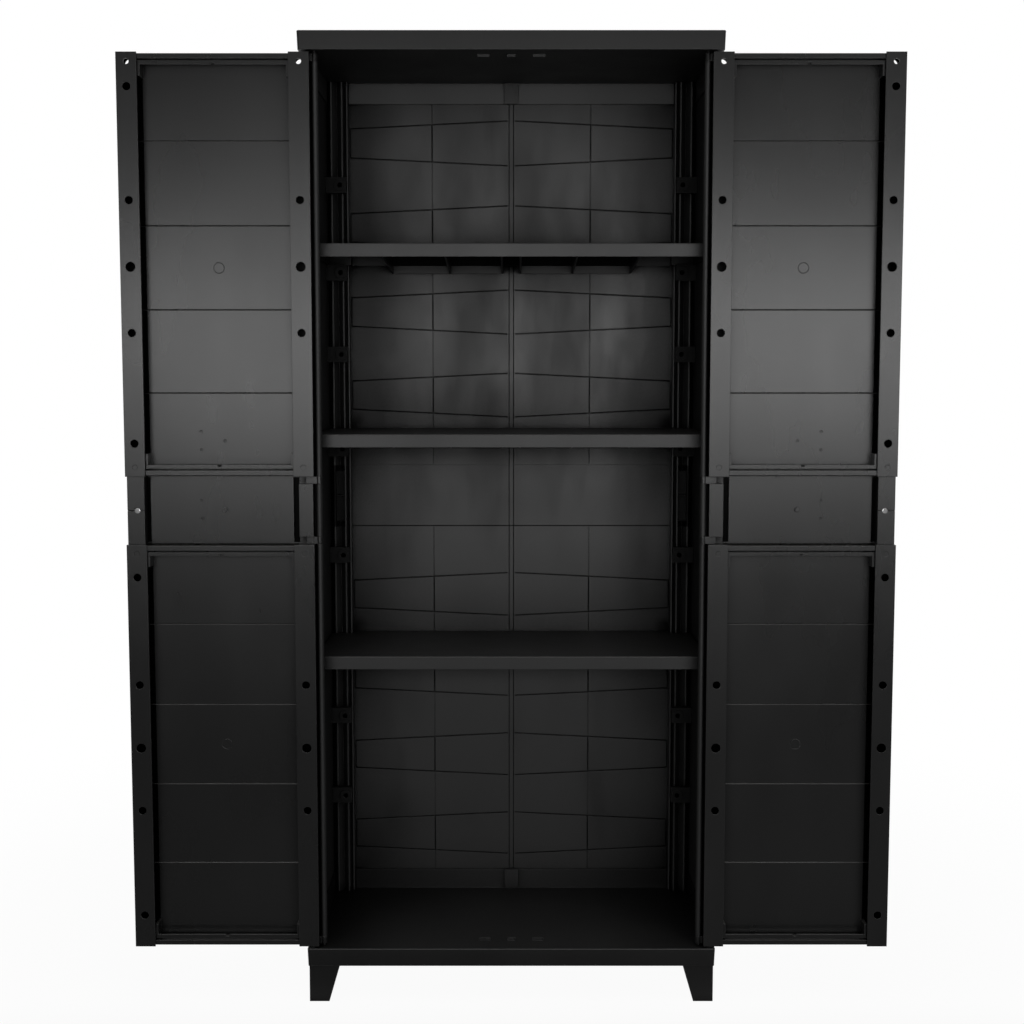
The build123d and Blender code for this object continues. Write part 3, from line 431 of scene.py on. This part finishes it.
# Tone of the floor as a light: pale under and behind the cabinet, darker in front and darkest far in front
def floorTone(tree, alongY):
    front = addNode(tree, "ShaderNodeMapRange", (-900, -600), interpolation_type="SMOOTHSTEP")
    setSockets(front, From_Min=floorFacts["farFromY"], From_Max=floorFacts["nearFromY"],
               To_Min=floorFacts["farTone"], To_Max=floorFacts["nearTone"])
    tone = addNode(tree, "ShaderNodeMapRange", (-700, -500), interpolation_type="SMOOTHSTEP")
    setSockets(tone, From_Min=floorFacts["darkFromY"], From_Max=floorFacts["paleFromY"],
               To_Max=floorFacts["tone"])
    tree.links.new(alongY, front.inputs["Value"])
    tree.links.new(front.outputs["Result"], tone.inputs["To Min"])
    tree.links.new(alongY, tone.inputs["Value"])
    return tone.outputs["Result"]


# Share of plain white: to the camera nearly all, and all of it far away; to glossy rays only behind
def floorWhite(tree, coords, alongY):
    rays = addNode(tree, "ShaderNodeLightPath", (-900, 300))
    away = addNode(tree, "ShaderNodeVectorMath", (-900, -100), operation="LENGTH")
    near = addNode(tree, "ShaderNodeMapRange", (-700, -100), interpolation_type="SMOOTHSTEP")
    setSockets(near, From_Min=floorFacts["fadeFrom"], From_Max=floorFacts["fadeTo"],
               To_Min=floorFacts["nearWhite"])
    behind = addNode(tree, "ShaderNodeMapRange", (-700, -300), interpolation_type="SMOOTHSTEP")
    setSockets(behind, From_Min=floorFacts["fadeFrom"], From_Max=floorFacts["fadeTo"])
    seen = addNode(tree, "ShaderNodeMath", (-300, 200), operation="MULTIPLY")
    other = addNode(tree, "ShaderNodeMath", (-500, 400), operation="MAXIMUM")
    mirrored = addNode(tree, "ShaderNodeMath", (-300, 400), operation="MULTIPLY")
    mask = addNode(tree, "ShaderNodeMath", (-100, 300), operation="MAXIMUM")
    tree.links.new(coords, away.inputs[0])
    tree.links.new(away.outputs["Value"], near.inputs["Value"])
    tree.links.new(alongY, behind.inputs["Value"])
    tree.links.new(rays.outputs["Is Camera Ray"], seen.inputs[0])
    tree.links.new(near.outputs["Result"], seen.inputs[1])
    tree.links.new(rays.outputs["Is Glossy Ray"], other.inputs[0])
    tree.links.new(rays.outputs["Is Transmission Ray"], other.inputs[1])
    tree.links.new(other.outputs[0], mirrored.inputs[0])
    tree.links.new(behind.outputs["Result"], mirrored.inputs[1])
    tree.links.new(seen.outputs[0], mask.inputs[0])
    tree.links.new(mirrored.outputs[0], mask.inputs[1])
    return mask.outputs[0]


def makeFloorMaterial():
    material = bpy.data.materials.new("paleFloor")
    material.use_nodes = True
    tree = material.node_tree
    shader = tree.nodes["Principled BSDF"]
    setSockets(shader, Roughness=floorFacts["roughness"], Specular_IOR_Level=floorFacts["specular"])
    coords = addNode(tree, "ShaderNodeTexCoord", (-1100, -100))
    split = addNode(tree, "ShaderNodeSeparateXYZ", (-900, -300))
    white = addNode(tree, "ShaderNodeEmission", (0, -200))
    mix = addNode(tree, "ShaderNodeMixShader", (300, 0))
    tree.links.new(coords.outputs["Object"], split.inputs[0])
    tree.links.new(floorTone(tree, split.outputs["Y"]), shader.inputs["Base Color"])
    tree.links.new(floorWhite(tree, coords.outputs["Object"], split.outputs["Y"]), mix.inputs["Fac"])
    tree.links.new(shader.outputs["BSDF"], mix.inputs[1])
    tree.links.new(white.outputs["Emission"], mix.inputs[2])
    tree.links.new(mix.outputs["Shader"], tree.nodes["Material Output"].inputs["Surface"])
    return material


def makeFloor():
    mesh = bpy.data.meshes.new("floor")
    sheet = bmesh.new()
    bmesh.ops.create_grid(sheet, x_segments=1, y_segments=1, size=floorFacts["reach"])
    sheet.to_mesh(mesh)
    sheet.free()
    mesh.materials.append(makeFloorMaterial())
    floor = bpy.data.objects.new("floor", mesh)
    bpy.context.collection.objects.link(floor)


makeFloor()
print("floor laid")

# World: white to the camera, and to glossy rays behind the cabinet; a dim light otherwise
worldFacts = {"ambient": 0.10, "behindFrom": 0.0, "behindTo": 0.5}


def makeWorld():
    world = bpy.data.worlds.new("studio")
    world.use_nodes = True
    tree = world.node_tree
    dim = tree.nodes["Background"]
    setSockets(dim, Color=grey(1), Strength=worldFacts["ambient"])
    white = addNode(tree, "ShaderNodeBackground", (0, -200))
    setSockets(white, Color=grey(1))
    rays = addNode(tree, "ShaderNodeLightPath", (-900, 300))
    coords = addNode(tree, "ShaderNodeTexCoord", (-1100, -100))
    split = addNode(tree, "ShaderNodeSeparateXYZ", (-900, -100))
    behind = addNode(tree, "ShaderNodeMapRange", (-700, -100), interpolation_type="SMOOTHSTEP")
    setSockets(behind, From_Min=worldFacts["behindFrom"], From_Max=worldFacts["behindTo"])
    other = addNode(tree, "ShaderNodeMath", (-500, 300), operation="MAXIMUM")
    mirrored = addNode(tree, "ShaderNodeMath", (-300, 200), operation="MULTIPLY")
    mask = addNode(tree, "ShaderNodeMath", (-100, 300), operation="MAXIMUM")
    mix = addNode(tree, "ShaderNodeMixShader", (300, 0))
    tree.links.new(coords.outputs["Generated"], split.inputs[0])
    tree.links.new(split.outputs["Y"], behind.inputs["Value"])
    tree.links.new(rays.outputs["Is Glossy Ray"], other.inputs[0])
    tree.links.new(rays.outputs["Is Transmission Ray"], other.inputs[1])
    tree.links.new(other.outputs[0], mirrored.inputs[0])
    tree.links.new(behind.outputs["Result"], mirrored.inputs[1])
    tree.links.new(rays.outputs["Is Camera Ray"], mask.inputs[0])
    tree.links.new(mirrored.outputs[0], mask.inputs[1])
    tree.links.new(mask.outputs[0], mix.inputs["Fac"])
    tree.links.new(dim.outputs["Background"], mix.inputs[1])
    tree.links.new(white.outputs["Background"], mix.inputs[2])
    tree.links.new(mix.outputs["Shader"], tree.nodes["World Output"].inputs["Surface"])
    bpy.context.scene.world = world


makeWorld()
print("world made")

# Lamps: a wide low strip behind the camera, a large soft box straight overhead, two weak ones at the
# sides and two behind
lamps = {
    "frontStrip": {"place": (0.6, -3.3, 1.14), "turn": (90, 0, 0), "size": (4.4, 0.70), "power": 52},
    "overheadBox": {"place": (0, -1.1, 4.2), "turn": (8, 0, 0), "size": (4.0, 3.2), "power": 50},
    "leftBox": {"place": (-4.0, -0.2, 2.0), "turn": (80, 0, -88), "size": (2.0, 2.5), "power": 12},
    "rightBox": {"place": (4.0, -0.2, 2.0), "turn": (80, 0, 88), "size": (2.0, 2.5), "power": 12},
    "leftRearBox": {"place": (-2.2, 3.6, 1.8), "turn": (85, 0, -148), "size": (1.6, 2.4), "power": 14},
    "rightRearBox": {"place": (2.2, 3.6, 1.8), "turn": (85, 0, 148), "size": (1.6, 2.4), "power": 14},
}


def areaLight(name, facts):
    data = bpy.data.lights.new(name, "AREA")
    data.shape = "RECTANGLE"
    data.size = facts["size"][0]
    data.size_y = facts["size"][1]
    data.energy = facts["power"]
    lamp = bpy.data.objects.new(name, data)
    lamp.location = facts["place"]
    lamp.rotation_euler = [math.radians(angle) for angle in facts["turn"]]
    bpy.context.collection.objects.link(lamp)


for name, facts in lamps.items():
    areaLight(name, facts)
print("light set")
